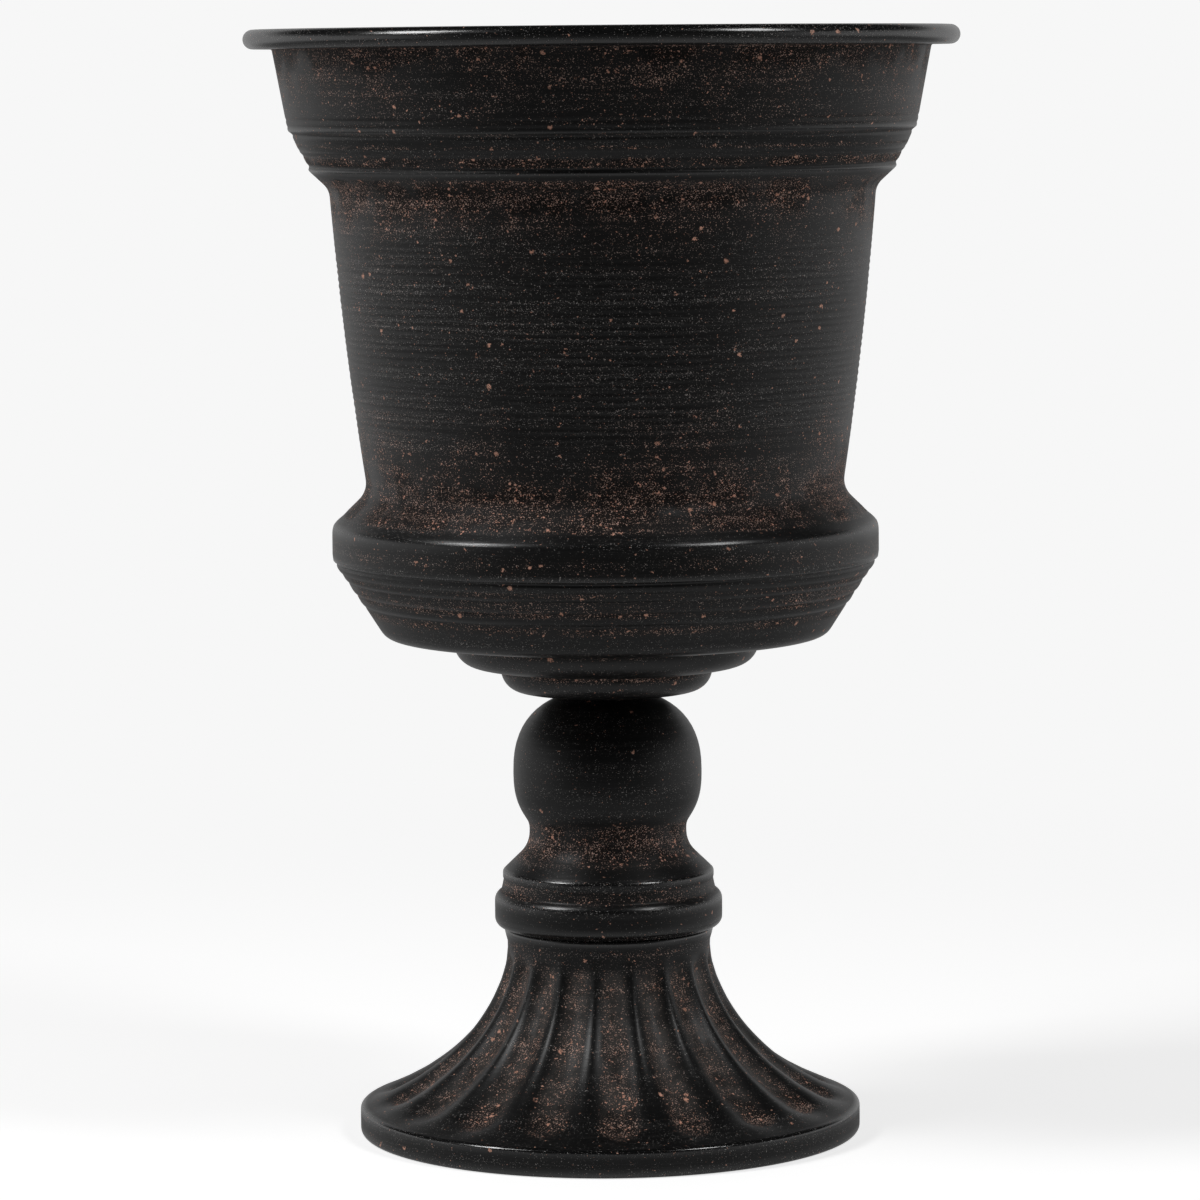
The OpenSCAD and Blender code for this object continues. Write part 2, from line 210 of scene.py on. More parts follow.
def spinRing(name, ring, dust, rubbed, sectors, perSector, slotName, nodeName, degrees=0.0):
    bm = bmesh.new()
    dustLayer = bm.verts.layers.float.new("dust")
    rubbedLayer = bm.verts.layers.float.new("rubbed")
    corners = [bm.verts.new((x, 0, z)) for x, z in ring]
    for k, corner in enumerate(corners):
        corner[dustLayer], corner[rubbedLayer] = dust[k], rubbed[k]
        bm.edges.new((corners[k - 1], corner))
    turnAll(bm, math.radians(degrees))
    spinSectors(bm, sectors, perSector)
    return finishPiece(name, bm, slotName, nodeName)


# Bowl: spun sheet with fine tool marks on the waist and scribed lines under the band

bowlLook = {                          # lengths in metres, shares of the bowl's own height
    "sectors": 12,
    "perSector": 10,
    "drawStep": 0.0005,
    "longStep": 0.0024,
    "fineStep": 0.00055,
    "fineSpans": [(0.126, 0.206), (0.36, 0.89)],  # the cup's ledges, then the waist and the steps over it
    "fineFacing": 0.6,                # how far outward the sheet faces where it is drawn finely
    "softReach": 0.0004,
    "softSpans": [                    # rounder steps: from, to, reach
        (0.05, 0.20, 0.0005), (0.242, 0.275, 0.0018), (0.785, 0.85, 0.0008)],
    "softEnds": 0.005,
    "grooveShares": (0.35, 0.45, 0.62, 0.74),  # the marks fade in, run and fade out
    "groovePitch": 0.0025,
    "grooveDepth": 0.00027,
    "grooveWander": 1.6,              # radians
    "wanderScale": (12, 12, 260),
    "wanderSeed": 3.1,
    "patchScale": (9, 9, 40),
    "patchSeed": 7.7,
    "patchMean": 0.6,
    "patchRange": (0.1, 1.2),
    "creases": [                      # share of the height, half width, depth
        (0.136, 0.0007, 0.0003), (0.154, 0.0007, 0.0003), (0.173, 0.0007, 0.0003), (0.200, 0.0008, 0.0009),
        (0.7965, 0.0008, 0.00042), (0.812, 0.0005, 0.0002), (0.820, 0.0005, 0.0002),
        (0.843, 0.0006, 0.0004), (0.8552, 0.0005, 0.0002), (0.8657, 0.0005, 0.0002)],
    "floorReach": 0.03,               # the drain holes lie within this radius
    "drainReach": 0.004,
    "wear": {"nearReach": 0.0026, "nearGain": 2.2, "wideReach": 0.008, "wideGain": 1.5,
             "rubGain": 5.0, "rubFrom": 0.1},
    "dustByHeight": [                 # share of the height, and how thick the dust lies there
        (0.00, 0.40), (0.085, 0.35), (0.10, 0.08), (0.118, 0.08), (0.121, 0.50), (0.13, 0.50),
        (0.134, 0.05), (0.143, 0.05), (0.148, 0.40), (0.16, 0.55), (0.165, 0.20), (0.175, 0.20),
        (0.178, 0.50), (0.183, 0.30), (0.187, 0.03), (0.20, 0.03), (0.206, 0.35), (0.235, 0.40),
        (0.25, 0.10), (0.269, 0.05), (0.273, 0.70), (0.32, 0.68), (0.37, 0.45), (0.41, 0.24),
        (0.46, 0.12), (0.64, 0.12), (0.69, 0.22), (0.73, 0.60), (0.76, 0.95), (0.778, 0.70),
        (0.784, 0.02), (0.797, 0.02), (0.800, 1.00), (0.809, 0.80), (0.813, 0.10), (0.823, 0.15),
        (0.827, 0.60), (0.832, 0.02), (0.843, 0.02), (0.846, 0.34), (0.91, 0.34), (0.955, 0.60),
        (0.975, 0.00), (1.00, 0.00)],
}


def closeDrainCut(bm, drainCentre, reach):  # the section passes through one drain hole
    walls = [e for e in bm.edges if all(abs(v.co.x - drainCentre) < reach for v in e.verts)]
    bmesh.ops.delete(bm, geom=walls, context="EDGES")
    ends = sorted((v for v in bm.verts if len(v.link_edges) == 1), key=lambda v: (round(v.co.z, 5), v.co.x))
    for left, right in zip(ends[::2], ends[1::2]):
        bm.edges.new((left, right))


def bowlPiece(look):
    low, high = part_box("bowl")
    tall = high.z - low.z
    bm = cutOutline("bowl")
    underside = (v.co.x for v in bm.verts if abs(v.co.z - low.z) < weld)
    drainEnds = sorted(x for x in underside if x < look["floorReach"])[-2:]
    drainCentre, drainRadius = sum(drainEnds) / 2, (drainEnds[1] - drainEnds[0]) / 2
    closeDrainCut(bm, drainCentre, look["drainReach"])
    ring = roundRing(walkLoop(bm), look["drawStep"])
    bm.free()
    share = (ring[:, 1] - low.z) / tall
    reach = np.full(len(ring), look["softReach"])
    fade = look["softEnds"]
    for start, end, wide in look["softSpans"]:
        within = ramp(share, start - fade, start + fade) * ramp(share, end + fade, end - fade)
        reach += (wide - look["softReach"]) * within
    ring = smoothRing(ring, reach)
    heights, amounts = zip(*look["dustByHeight"])
    dust, rubbed = wearOf(ring, look["wear"], np.interp(share, heights, amounts))
    outside = outwardOf(ring)[:, 0] > look["fineFacing"]

    def longest(place):
        k = np.argmin(np.abs(ring - place).sum(axis=1))
        fine = outside[k] and any(start < share[k] < end for start, end in look["fineSpans"])
        return look["fineStep"] if fine else look["longStep"]

    kept = thinRing(ring, longest)
    print("bowl outline:", len(kept), "corners")
    piece = spinRing("bowlShell", ring[kept], dust[kept], rubbed[kept], look["sectors"], look["perSector"],
                     "black_coat", "bowl")
    toolMarks(piece.data, look, low.z, tall)
    return piece, drainCentre, drainRadius


def toolMarks(mesh, look, floor, tall):
    places = readPlaces(mesh)
    radius = np.hypot(places[:, 0], places[:, 1])
    height = places[:, 2]
    a, b, c, d = (floor + s * tall for s in look["grooveShares"])
    strength = ramp(height, a, b) * (1 - ramp(height, c, d))
    wander = noiseAt(places * look["wanderScale"], look["wanderSeed"])
    patches = noiseAt(places * look["patchScale"], look["patchSeed"])
    patchy = np.clip(look["patchMean"] + look["patchMean"] * patches, *look["patchRange"])
    wave = np.sin(2 * math.pi * height / look["groovePitch"] + look["grooveWander"] * wander)
    sink = look["grooveDepth"] * strength * patchy * (0.5 - 0.5 * wave)
    for share, halfWidth, depth in look["creases"]:
        sink += depth * np.exp(-((height - floor - share * tall) / halfWidth) ** 2)
    places[:, :2] *= (1 - sink / radius)[:, None]
    writePlaces(mesh, places)
    # the coat also reads this mark share to paint the tool marks' grooves darker than their ridges, as
    # painted shade
    addTo(mesh, "mark", strength * patchy * (0.5 + 0.5 * wave))


bowlShell, drainCentre, drainRadius = bowlPiece(bowlLook)


# Stem: ball, neck, bell, collar and torus

stemLook = {
    "sectors": 8,
    "perSector": 14,
    "drawStep": 0.0004,
    "longStep": 0.0016,
    "softReach": 0.0004,
    "plainDust": 0.2,
    "wear": {"nearReach": 0.0026, "nearGain": 2.4, "wideReach": 0.009, "wideGain": 4.0,
             "rubGain": 5.0, "rubFrom": 0.1},
}


def stemPiece(look):
    bm = cutOutline("stem")
    ring = smoothRing(roundRing(walkLoop(bm), look["drawStep"]), look["softReach"])
    bm.free()
    dust, rubbed = wearOf(ring, look["wear"], look["plainDust"])
    kept = thinRing(ring, lambda place: look["longStep"])
    return spinRing("stemShell", ring[kept], dust[kept], rubbed[kept], look["sectors"], look["perSector"],
                    "black_coat", "stem")


stemShell = stemPiece(stemLook)


# Foot: spun plain, then the flutes are pressed into it

footLook = {                          # lengths in metres, angles in degrees
    "flutes": 18,
    "perFlute": 16,
    "turn": 2.4,                      # how far the front flute stands to the right
    "drawStep": 0.0005,
    "longStep": 0.0015,
    "softReach": 0.0005,
    "sheet": 0.0012,
    "depth": 0.0028,
    "topHeight": 0.0652,              # where the flutes' arches end
    "lowHeight": 0.0128,
    "wallSpare": (0.003, 0.006),      # how far the measured wall runs on below and above the flutes
    "halfAngleTop": 7.6,              # from a flute's middle to its edge
    "halfAngleLow": 5.8,
    "edgeSoftness": 0.85,
    "endFade": 0.004,
    "wallSamples": 600,
    "wallSmooth": 20,
    "wallReach": (1.9, 1.4),          # the press fades out over this many sheets from the wall's outer side
    "batch": 4000,
    "floorSpan": (0.3, 0.95),         # share of the depth over which a flute's floor takes dust and haze
    "floorDust": 0.54,
    "lowEndSpan": 0.018,
    "lowEndDust": 0.15,               # more dust and less haze near the flutes' lower ends
    "lowEndHaze": 0.85,
    "ridgeSpan": (-0.2, 0.4),
    "ridgeDust": 0.5,                 # the ridges between the flutes keep less dust and are rubbed
    "ridgeRub": 0.1,
    "borderStart": 0.0783,            # radius where the flare turns into the plain border
    "borderSlope": 25.4,
    "edgeRadius": 0.0011,
    "edgeSteps": 12,
    "faceTop": 0.0055,                # the ring's face is redrawn above this height
    "borderHeights": (0.0106, 0.0130),  # the plain border isn't rubbed and keeps less dust
    "borderFades": (0.0003, 0.001),
    "borderDust": 0.6,
    "plainDust": 0.24,
    "wear": {"nearReach": 0.0028, "nearGain": 2.4, "wideReach": 0.01, "wideGain": 1.6,
             "rubGain": 5.0, "rubFrom": 0.1},
}


def flareWall(ring, look):  # the flared wall's outer side, from its neck down to the border
    outside = (outwardOf(ring) @ (1, 1)) > 0
    below, above = look["wallSpare"]
    span = (ring[:, 1] > look["lowHeight"] - below) & (ring[:, 1] < look["topHeight"] + above)
    wall = ring[outside & span]
    return wall[np.argsort(-wall[:, 1])]


def followWall(wall, look):  # even places down the wall, and the way from each into the sheet
    steps = np.linalg.norm(np.diff(wall, axis=0), axis=1)
    along = np.concatenate([[0], np.cumsum(steps)])
    fine = np.linspace(0, along[-1], look["wallSamples"])
    wallR, wallZ = np.interp(fine, along, wall[:, 0]), np.interp(fine, along, wall[:, 1])
    reach = look["wallSmooth"]
    window = np.hanning(2 * reach + 1)
    window /= window.sum()
    runR, runZ = (np.convolve(np.pad(np.gradient(line), reach, mode="edge"), window, mode="valid")
                  for line in (wallR, wallZ))
    size = np.hypot(runR, runZ)
    return fine, wallR, wallZ, runZ / size, -runR / size


def nearestOf(radius, height, wallR, wallZ, batch):
    nearest = np.empty(len(radius), int)
    for start in range(0, len(radius), batch):
        part = slice(start, start + batch)
        far = (radius[part, None] - wallR) ** 2 + (height[part, None] - wallZ) ** 2
        nearest[part] = np.argmin(far, axis=1)
    return nearest


def pressFlutes(mesh, wall, look):
    fine, wallR, wallZ, inR, inZ = followWall(wall, look)
    places = readPlaces(mesh)
    radius = np.hypot(places[:, 0], places[:, 1])
    nearest = nearestOf(radius, places[:, 2], wallR, wallZ, look["batch"])
    apart = np.hypot(radius - wallR[nearest], places[:, 2] - wallZ[nearest])
    place = fine[nearest]
    top = np.interp(-look["topHeight"], -wallZ, fine)
    low = np.interp(-look["lowHeight"], -wallZ, fine)

    pitch = 360 / look["flutes"]
    angle = np.degrees(np.arctan2(places[:, 0], -places[:, 1])) - look["turn"]
    across = (angle + pitch / 2) % pitch - pitch / 2
    share = np.clip((place - top) / (low - top), 0, 1)
    halfAngle = look["halfAngleTop"] + (look["halfAngleLow"] - look["halfAngleTop"]) * share
    halfWidth = np.radians(halfAngle) * wallR[nearest]
    wide = np.radians(across) * wallR[nearest] / halfWidth
    topEnd = top + np.interp(top, fine, wallR) * math.radians(look["halfAngleTop"])
    lowEnd = low - np.interp(low, fine, wallR) * math.radians(look["halfAngleLow"])
    past = np.maximum(np.maximum(topEnd - place, place - lowEnd), 0) / halfWidth
    inside = 1 - wide ** 2 - past ** 2
    soft = look["edgeSoftness"]
    scoop = (inside + np.hypot(inside, soft)) / (1 + math.hypot(1, soft))
    onWall = ramp(apart, *(sheets * look["sheet"] for sheets in look["wallReach"]))
    ends = ramp(place, 0, look["endFade"]) * ramp(place, fine[-1], fine[-1] - look["endFade"])
    scoop *= onWall * ends
    sink = look["depth"] * scoop
    newRadius = radius + sink * inR[nearest]
    places[:, 2] += sink * inZ[nearest]
    places[:, :2] *= (newRadius / radius)[:, None]
    writePlaces(mesh, places)

    ridge = ramp(-inside, *look["ridgeSpan"]) * onWall
    ridge *= ramp(place, top, topEnd) * ramp(place, fine[-1], lowEnd)
    floor = ramp(scoop, *look["floorSpan"])
    nearEnd = ramp(place, lowEnd - look["lowEndSpan"], lowEnd)
    dust = (look["floorDust"] + look["lowEndDust"] * nearEnd) * floor - look["ridgeDust"] * ridge
    addTo(mesh, "dust", dust)
    addTo(mesh, "rubbed", look["ridgeRub"] * ridge)
    addTo(mesh, "haze", floor * (1 - look["lowEndHaze"] * nearEnd))


def redrawBorder(ring, look):  # the border runs out to the ring's upper edge, which is rounded
    outside = outwardOf(ring) @ (1, 1) > 0
    on = outside & (ring[:, 0] > look["borderStart"]) & (ring[:, 1] > look["faceTop"])
    ring = np.roll(ring, -np.flatnonzero(on & ~np.roll(on, 1))[0], axis=0)
    count = on.sum()
    first, last = ring[0], ring[count - 1]
    if first[1] < last[1]:
        first, last = last, first
    small = look["edgeRadius"]
    slope = math.radians(look["borderSlope"])
    centre = np.array([last[0] - small, first[1] - (last[0] - small - first[0]) * math.tan(slope)
                       - small / math.cos(slope)])
    turns = np.linspace(math.pi / 2 - slope, 0, look["edgeSteps"])[:, None]
    arc = centre + small * np.hstack([np.cos(turns), np.sin(turns)])
    path = np.vstack([first, arc, last])
    if (path[0] != ring[0]).any():
        path = path[::-1]
    along = np.concatenate([[0], np.cumsum(np.linalg.norm(np.diff(path, axis=0), axis=1))])
    even = np.linspace(0, along[-1], count)
    for axis in (0, 1):
        ring[:count, axis] = np.interp(even, along, path[:, axis])
    return ring


def footPiece(look):
    ridge = look["turn"] - 90 + 180 / look["flutes"]
    bm = cutOutline("foot", ridge)
    ring = smoothRing(redrawBorder(roundRing(walkLoop(bm), look["drawStep"]), look), look["softReach"])
    bm.free()
    dust, rubbed = wearOf(ring, look["wear"], look["plainDust"])
    low, high = look["borderHeights"]
    fadeLow, fadeHigh = look["borderFades"]
    border = ramp(ring[:, 1], low - fadeLow, low) * ramp(ring[:, 1], high + fadeHigh, high)
    rubbed *= 1 - border
    dust *= 1 - look["borderDust"] * border
    wall = flareWall(ring, look)
    kept = thinRing(ring, lambda place: look["longStep"])
    print("foot outline:", len(kept), "corners")
    piece = spinRing("footShell", ring[kept], dust[kept], rubbed[kept], look["flutes"], look["perFlute"],
                     "black_coat", "foot", ridge)
    pressFlutes(piece.data, wall, look)
    return piece


footShell = footPiece(footLook)


# Drain holes are punched through the spun floor

drainLook = {"count": 3, "firstAngle": 0, "overrun": 0.003, "sides": 32}


def punchDrains(look):
    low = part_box("bowl")[0].z
    for k in range(look["count"]):
        angle = math.radians(look["firstAngle"] + 360 * k / look["count"])
        bm = bmesh.new()
        bmesh.ops.create_cone(bm, segments=look["sides"], radius1=drainRadius, radius2=drainRadius,
                              depth=2 * look["overrun"], cap_ends=True)
        centre = Vector((drainCentre * math.cos(angle), drainCentre * math.sin(angle), low))
        bmesh.ops.translate(bm, verts=bm.verts, vec=centre)
        punch = addObject("drainPunch", meshFrom("drainPunch", bm))
        cut = bowlShell.modifiers.new("drain", "BOOLEAN")
        cut.operation = "DIFFERENCE"
        cut.solver = "EXACT"
        cut.object = punch
        bpy.context.view_layer.update()
        graph = bpy.context.evaluated_depsgraph_get()
        cutMesh = bpy.data.meshes.new_from_object(bowlShell.evaluated_get(graph))
        bowlShell.modifiers.clear()
        bowlShell.data = cutMesh
        bpy.data.objects.remove(punch)


punchDrains(drainLook)
print("drains punched:", len(bowlShell.data.polygons), "faces")


# Washers, gasket and clamp plate: spun from their nodes' own sections, with small edges

ringLook = {
    "sectors": 8,
    "perSector": 9,
    "bevels": {"zinc_steel": 0.0003, "black_rubber": 0.0005, "plate_steel": 0.0005},
    "bevelSegments": 3,
}


def ringPiece(name, nodeName, slotName, look):
    bm = cutOutline(nodeName)
    bmesh.ops.bevel(bm, geom=bm.verts[:], affect="VERTICES", offset=look["bevels"][slotName],
                    segments=look["bevelSegments"], profile=0.5, material=-1)
    spinSectors(bm, look["sectors"], look["perSector"])
    return finishPiece(name, bm, slotName, nodeName)


topWasher = ringPiece("topWasher", "top_washer", "zinc_steel", ringLook)
sealingWasher = ringPiece("sealingWasher", "sealing_washer", "black_rubber", ringLook)
bowlGasket = ringPiece("bowlGasket", "bowl_gasket", "black_rubber", ringLook)
clampPlate = ringPiece("clampPlate", "clamp_plate", "plate_steel", ringLook)


# Tie rod: one turn of thread is swept, copied along the rod and cut to its length

rodLook = {
    "pitch": 0.00125,
    "threadDepth": 0.00068,
    "stepsPerTurn": 20,
    "spareTurns": 2,
    "crestHalf": 0.06,                # shares of the pitch, from the middle of a crest
    "rootFrom": 0.44,
    "endChamfer": 0.0008,
}


def rodPiece(look):
    low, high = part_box("tie_rod")
    crest, root = high.x, high.x - look["threadDepth"]
    pitch, steps = look["pitch"], look["stepsPerTurn"]
    turns = math.ceil((high.z - low.z) / pitch) + look["spareTurns"]
    bm = bmesh.new()
    half, foot = look["crestHalf"], look["rootFrom"]
    corners = [(root, -foot), (crest, -half), (crest, half), (root, foot), (root, 1 - foot)]
    chain = [bm.verts.new((r, 0, low.z - pitch + share * pitch)) for r, share in corners]
    for a, b in zip(chain, chain[1:]):
        bm.edges.new((a, b))
    spin(bm, 2 * math.pi, steps, rise=pitch / steps)
    spin(bm, 0, turns, rise=pitch, copies=True)
    bmesh.ops.remove_doubles(bm, verts=bm.verts, dist=5 * weld)
    for height, side in ((low.z, -1), (high.z, 1)):
        bmesh.ops.bisect_plane(bm, geom=everything(bm), dist=weld, plane_co=(0, 0, height),
                               plane_no=(0, 0, side), clear_outer=True)
        rim = [e for e in bm.edges
               if e.is_boundary and all(abs(v.co.z - height) < 10 * weld for v in e.verts)]
        bmesh.ops.holes_fill(bm, edges=rim)
    for vert in bm.verts:
        radius = math.hypot(vert.co.x, vert.co.y)
        allowed = crest - look["endChamfer"] + min(vert.co.z - low.z, high.z - vert.co.z)
        if radius > allowed:
            vert.co.xy *= allowed / radius
    return finishPiece("tieRod", bm, "zinc_steel", "tie_rod")


tieRod = rodPiece(rodLook)


# Spring washer: a split ring, flat as it lies when clamped

springLook = {
    "gap": 0.0016,
    "clearance": 0.0003,              # between its hole and the rod
    "bevel": 0.0003,
    "bevelSegments": 3,
    "steps": 72,
}


def springWasherPiece(look):
    low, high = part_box("spring_washer")
    bm = bmesh.new()
    inner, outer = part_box("tie_rod")[1].x + look["clearance"], high.x
    corners = [(inner, low.z), (outer, low.z), (outer, high.z), (inner, high.z)]
    bm.faces.new([bm.verts.new((x, 0, z)) for x, z in corners])
    bmesh.ops.bevel(bm, geom=bm.verts[:], affect="VERTICES", offset=look["bevel"],
                    segments=look["bevelSegments"], profile=0.5, material=-1)
    half = math.asin(look["gap"] / 2 / outer)
    turnAll(bm, half)
    spin(bm, 2 * math.pi - 2 * half, look["steps"])
    return finishPiece("springWasher", bm, "zinc_steel", "spring_washer")


springWasher = springWasherPiece(springLook)


# Nuts: a hexagon turned down to a round face at both ends

nutLook = {
    "sides": 72,
    "clearance": 0.00006,             # between its bore and the rod
    "faceShare": 0.94,                # the round faces' radius, as a share of half the width over flats
    "faceSlope": 30,                  # degrees
    "cornerShare": 0.985,
    "boreChamfer": 0.0005,
    "bevel": 0.00012,
    "bevelSegments": 2,
    "sharpTurn": 22,                  # degrees; edges that turn by more are bevelled
}


def nutPiece(name, nodeName, look):
    low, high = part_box(nodeName)
    flat, corner = sorted((high.x, high.y))
    firstCorner = 0 if high.x > high.y else 30
    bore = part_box("tie_rod")[1].x + look["clearance"]
    faceRadius = flat * look["faceShare"]
    bm = bmesh.new()
    rings = []
    for k in range(look["sides"]):
        degrees = 360 * k / look["sides"]
        fromFlat = (degrees - firstCorner) % 60 - 30
        hexRadius = min(flat / math.cos(math.radians(fromFlat)), corner * look["cornerShare"])
        slope = (hexRadius - faceRadius) * math.tan(math.radians(look["faceSlope"]))
        c = look["boreChamfer"]
        section = [(bore, low.z + c), (bore + c, low.z), (faceRadius, low.z), (hexRadius, low.z + slope),
                   (hexRadius, high.z - slope), (faceRadius, high.z), (bore + c, high.z), (bore, high.z - c)]
        x, y = math.cos(math.radians(degrees)), math.sin(math.radians(degrees))
        rings.append([bm.verts.new((r * x, r * y, z)) for r, z in section])
    for near, far in zip(rings, rings[1:] + rings[:1]):
        for j in range(len(near)):
            bm.faces.new((near[j - 1], near[j], far[j], far[j - 1]))
    bmesh.ops.recalc_face_normals(bm, faces=bm.faces)
    sharp = [e for e in bm.edges if e.calc_face_angle() > math.radians(look["sharpTurn"])]
    bmesh.ops.bevel(bm, geom=sharp, affect="EDGES", offset=look["bevel"], segments=look["bevelSegments"],
                    profile=0.5, material=-1, clamp_overlap=True)
    return finishPiece(name, bm, "zinc_steel", nodeName)


topNut = nutPiece("topNut", "top_nut", nutLook)
bottomNut = nutPiece("bottomNut", "bottom_nut", nutLook)


# Node helpers

def addNode(tree, kind, **values):
    node = tree.nodes.new(kind)
    for name, value in values.items():
        setattr(node, name, value)
    return node


def join(tree, source, target):
    if isinstance(source, (int, float, tuple)):
        target.default_value = source
    else:
        tree.links.new(source, target)


def doMath(tree, operation, *values):
    node = addNode(tree, "ShaderNodeMath", operation=operation)
    for k, value in enumerate(values):
        join(tree, value, node.inputs[k])
    return node.outputs[0]


def multiply(tree, product, *factors):
    for factor in factors:
        product = doMath(tree, "MULTIPLY", product, factor)
    return product


def mapRange(tree, value, fromLow, fromHigh, toLow=0.0, toHigh=1.0, kind="SMOOTHSTEP"):
    node = addNode(tree, "ShaderNodeMapRange", interpolation_type=kind)
    for k, part in enumerate((value, fromLow, fromHigh, toLow, toHigh)):
        join(tree, part, node.inputs[k])
    return node.outputs[0]


def mixColour(tree, share, first, second):
    node = addNode(tree, "ShaderNodeMix", data_type="RGBA")
    join(tree, share, node.inputs[0])
    join(tree, first, node.inputs[6])
    join(tree, second, node.inputs[7])
    return node.outputs[2]


def noiseNode(tree, vector, scale, detail=2.0, rough=0.5):
    node = addNode(tree, "ShaderNodeTexNoise")
    tree.links.new(vector, node.inputs["Vector"])
    join(tree, scale, node.inputs["Scale"])
    node.inputs["Detail"].default_value = detail
    node.inputs["Roughness"].default_value = rough
    return node.outputs["Fac"]


def mixShader(tree, *sources):
    node = addNode(tree, "ShaderNodeMixShader")
    for k, source in enumerate(sources):
        tree.links.new(source, node.inputs[k])
    return node.outputs[0]


def newGroup(name, takes, gives):
    tree = bpy.data.node_groups.new(name, "ShaderNodeTree")
    for socketName, kind, value in takes:
        socket = tree.interface.new_socket(socketName, in_out="INPUT", socket_type=kind)
        if value is not None:
            socket.default_value = value
    for socketName, kind in gives:
        tree.interface.new_socket(socketName, in_out="OUTPUT", socket_type=kind)
    return tree, addNode(tree, "NodeGroupInput").outputs, addNode(tree, "NodeGroupOutput").inputs


def squeeze(tree, vector, flatness):  # heights are stretched, so what is drawn in them comes out flatter
    factors = addNode(tree, "ShaderNodeCombineXYZ")
    factors.inputs[0].default_value = 1.0
    factors.inputs[1].default_value = 1.0
    tree.links.new(flatness, factors.inputs[2])
    squeezed = addNode(tree, "ShaderNodeVectorMath", operation="MULTIPLY")
    tree.links.new(vector, squeezed.inputs[0])
    tree.links.new(factors.outputs[0], squeezed.inputs[1])
    return squeezed.outputs[0]


# Shared effects

effectLook = {
    "wobbleScale": 2.3,               # finer than the cells that it makes ragged
    "smallest": 0.25,                 # of the size asked for
    "rim": 0.7,                       # a fleck is solid within this share of its edge
    "speckRise": 0.02,                # how far above the level a speck is whole
    "coreRise": 0.08,
}


def fleckGroup(look):  # ragged flecks: one may sit in each cell, where its own number is under the density
    tree, takes, gives = newGroup(
        "flecks",
        [("Vector", "NodeSocketVector", None), ("Scale", "NodeSocketFloat", 1000.0),
         ("Density", "NodeSocketFloat", 0.3), ("Size", "NodeSocketFloat", 0.3),
         ("Ragged", "NodeSocketFloat", 0.3), ("Flatness", "NodeSocketFloat", 1.3)],
        [("Mask", "NodeSocketFloat"), ("Tint", "NodeSocketFloat")])
    squeezed = squeeze(tree, takes["Vector"], takes["Flatness"])
    wobble = addNode(tree, "ShaderNodeTexNoise")
    tree.links.new(squeezed, wobble.inputs["Vector"])
    tree.links.new(doMath(tree, "MULTIPLY", takes["Scale"], look["wobbleScale"]), wobble.inputs["Scale"])
    wobble.inputs["Detail"].default_value = 2.0
    centred = addNode(tree, "ShaderNodeVectorMath", operation="SUBTRACT")
    tree.links.new(wobble.outputs["Color"], centred.inputs[0])
    centred.inputs[1].default_value = (0.5, 0.5, 0.5)
    shift = addNode(tree, "ShaderNodeVectorMath", operation="SCALE")
    tree.links.new(centred.outputs[0], shift.inputs[0])
    tree.links.new(doMath(tree, "DIVIDE", takes["Ragged"], takes["Scale"]), shift.inputs["Scale"])
    moved = addNode(tree, "ShaderNodeVectorMath", operation="ADD")
    tree.links.new(squeezed, moved.inputs[0])
    tree.links.new(shift.outputs[0], moved.inputs[1])
    cells = addNode(tree, "ShaderNodeTexVoronoi")
    tree.links.new(moved.outputs[0], cells.inputs["Vector"])
    tree.links.new(takes["Scale"], cells.inputs["Scale"])
    numbers = addNode(tree, "ShaderNodeSeparateColor")
    tree.links.new(cells.outputs["Color"], numbers.inputs[0])
    there = doMath(tree, "LESS_THAN", numbers.outputs[0], takes["Density"])
    squared = doMath(tree, "POWER", numbers.outputs[1], 2.0)
    spread = doMath(tree, "MULTIPLY_ADD", squared, 1 - look["smallest"], look["smallest"])
    edge = doMath(tree, "MULTIPLY", takes["Size"], spread)
    rough = doMath(tree, "MULTIPLY", doMath(tree, "SUBTRACT", wobble.outputs["Fac"], 0.5), takes["Ragged"])
    reach = doMath(tree, "MULTIPLY_ADD", rough, 0.5, cells.outputs["Distance"])
    solid = mapRange(tree, reach, edge, doMath(tree, "MULTIPLY", edge, look["rim"]))
    tree.links.new(doMath(tree, "MULTIPLY", there, solid), gives["Mask"])
    middle = mapRange(tree, reach, edge, 0.0, 0.0, 0.5)
    tree.links.new(doMath(tree, "MULTIPLY_ADD", numbers.outputs[2], 0.5, middle), gives["Tint"])
    return tree


def speckGroup(look):  # specks where a fine noise stands above a level
    tree, takes, gives = newGroup(
        "specks",
        [("Vector", "NodeSocketVector", None), ("Scale", "NodeSocketFloat", 1500.0),
         ("Level", "NodeSocketFloat", 0.65), ("Flatness", "NodeSocketFloat", 1.35)],
        [("Mask", "NodeSocketFloat"), ("Core", "NodeSocketFloat")])
    squeezed = squeeze(tree, takes["Vector"], takes["Flatness"])
    fine = noiseNode(tree, squeezed, takes["Scale"], 1.5, 0.65)
    above = doMath(tree, "SUBTRACT", fine, takes["Level"])
    tree.links.new(mapRange(tree, above, 0.0, look["speckRise"]), gives["Mask"])
    tree.links.new(mapRange(tree, above, 0.0, look["coreRise"], kind="LINEAR"), gives["Core"])
    return tree


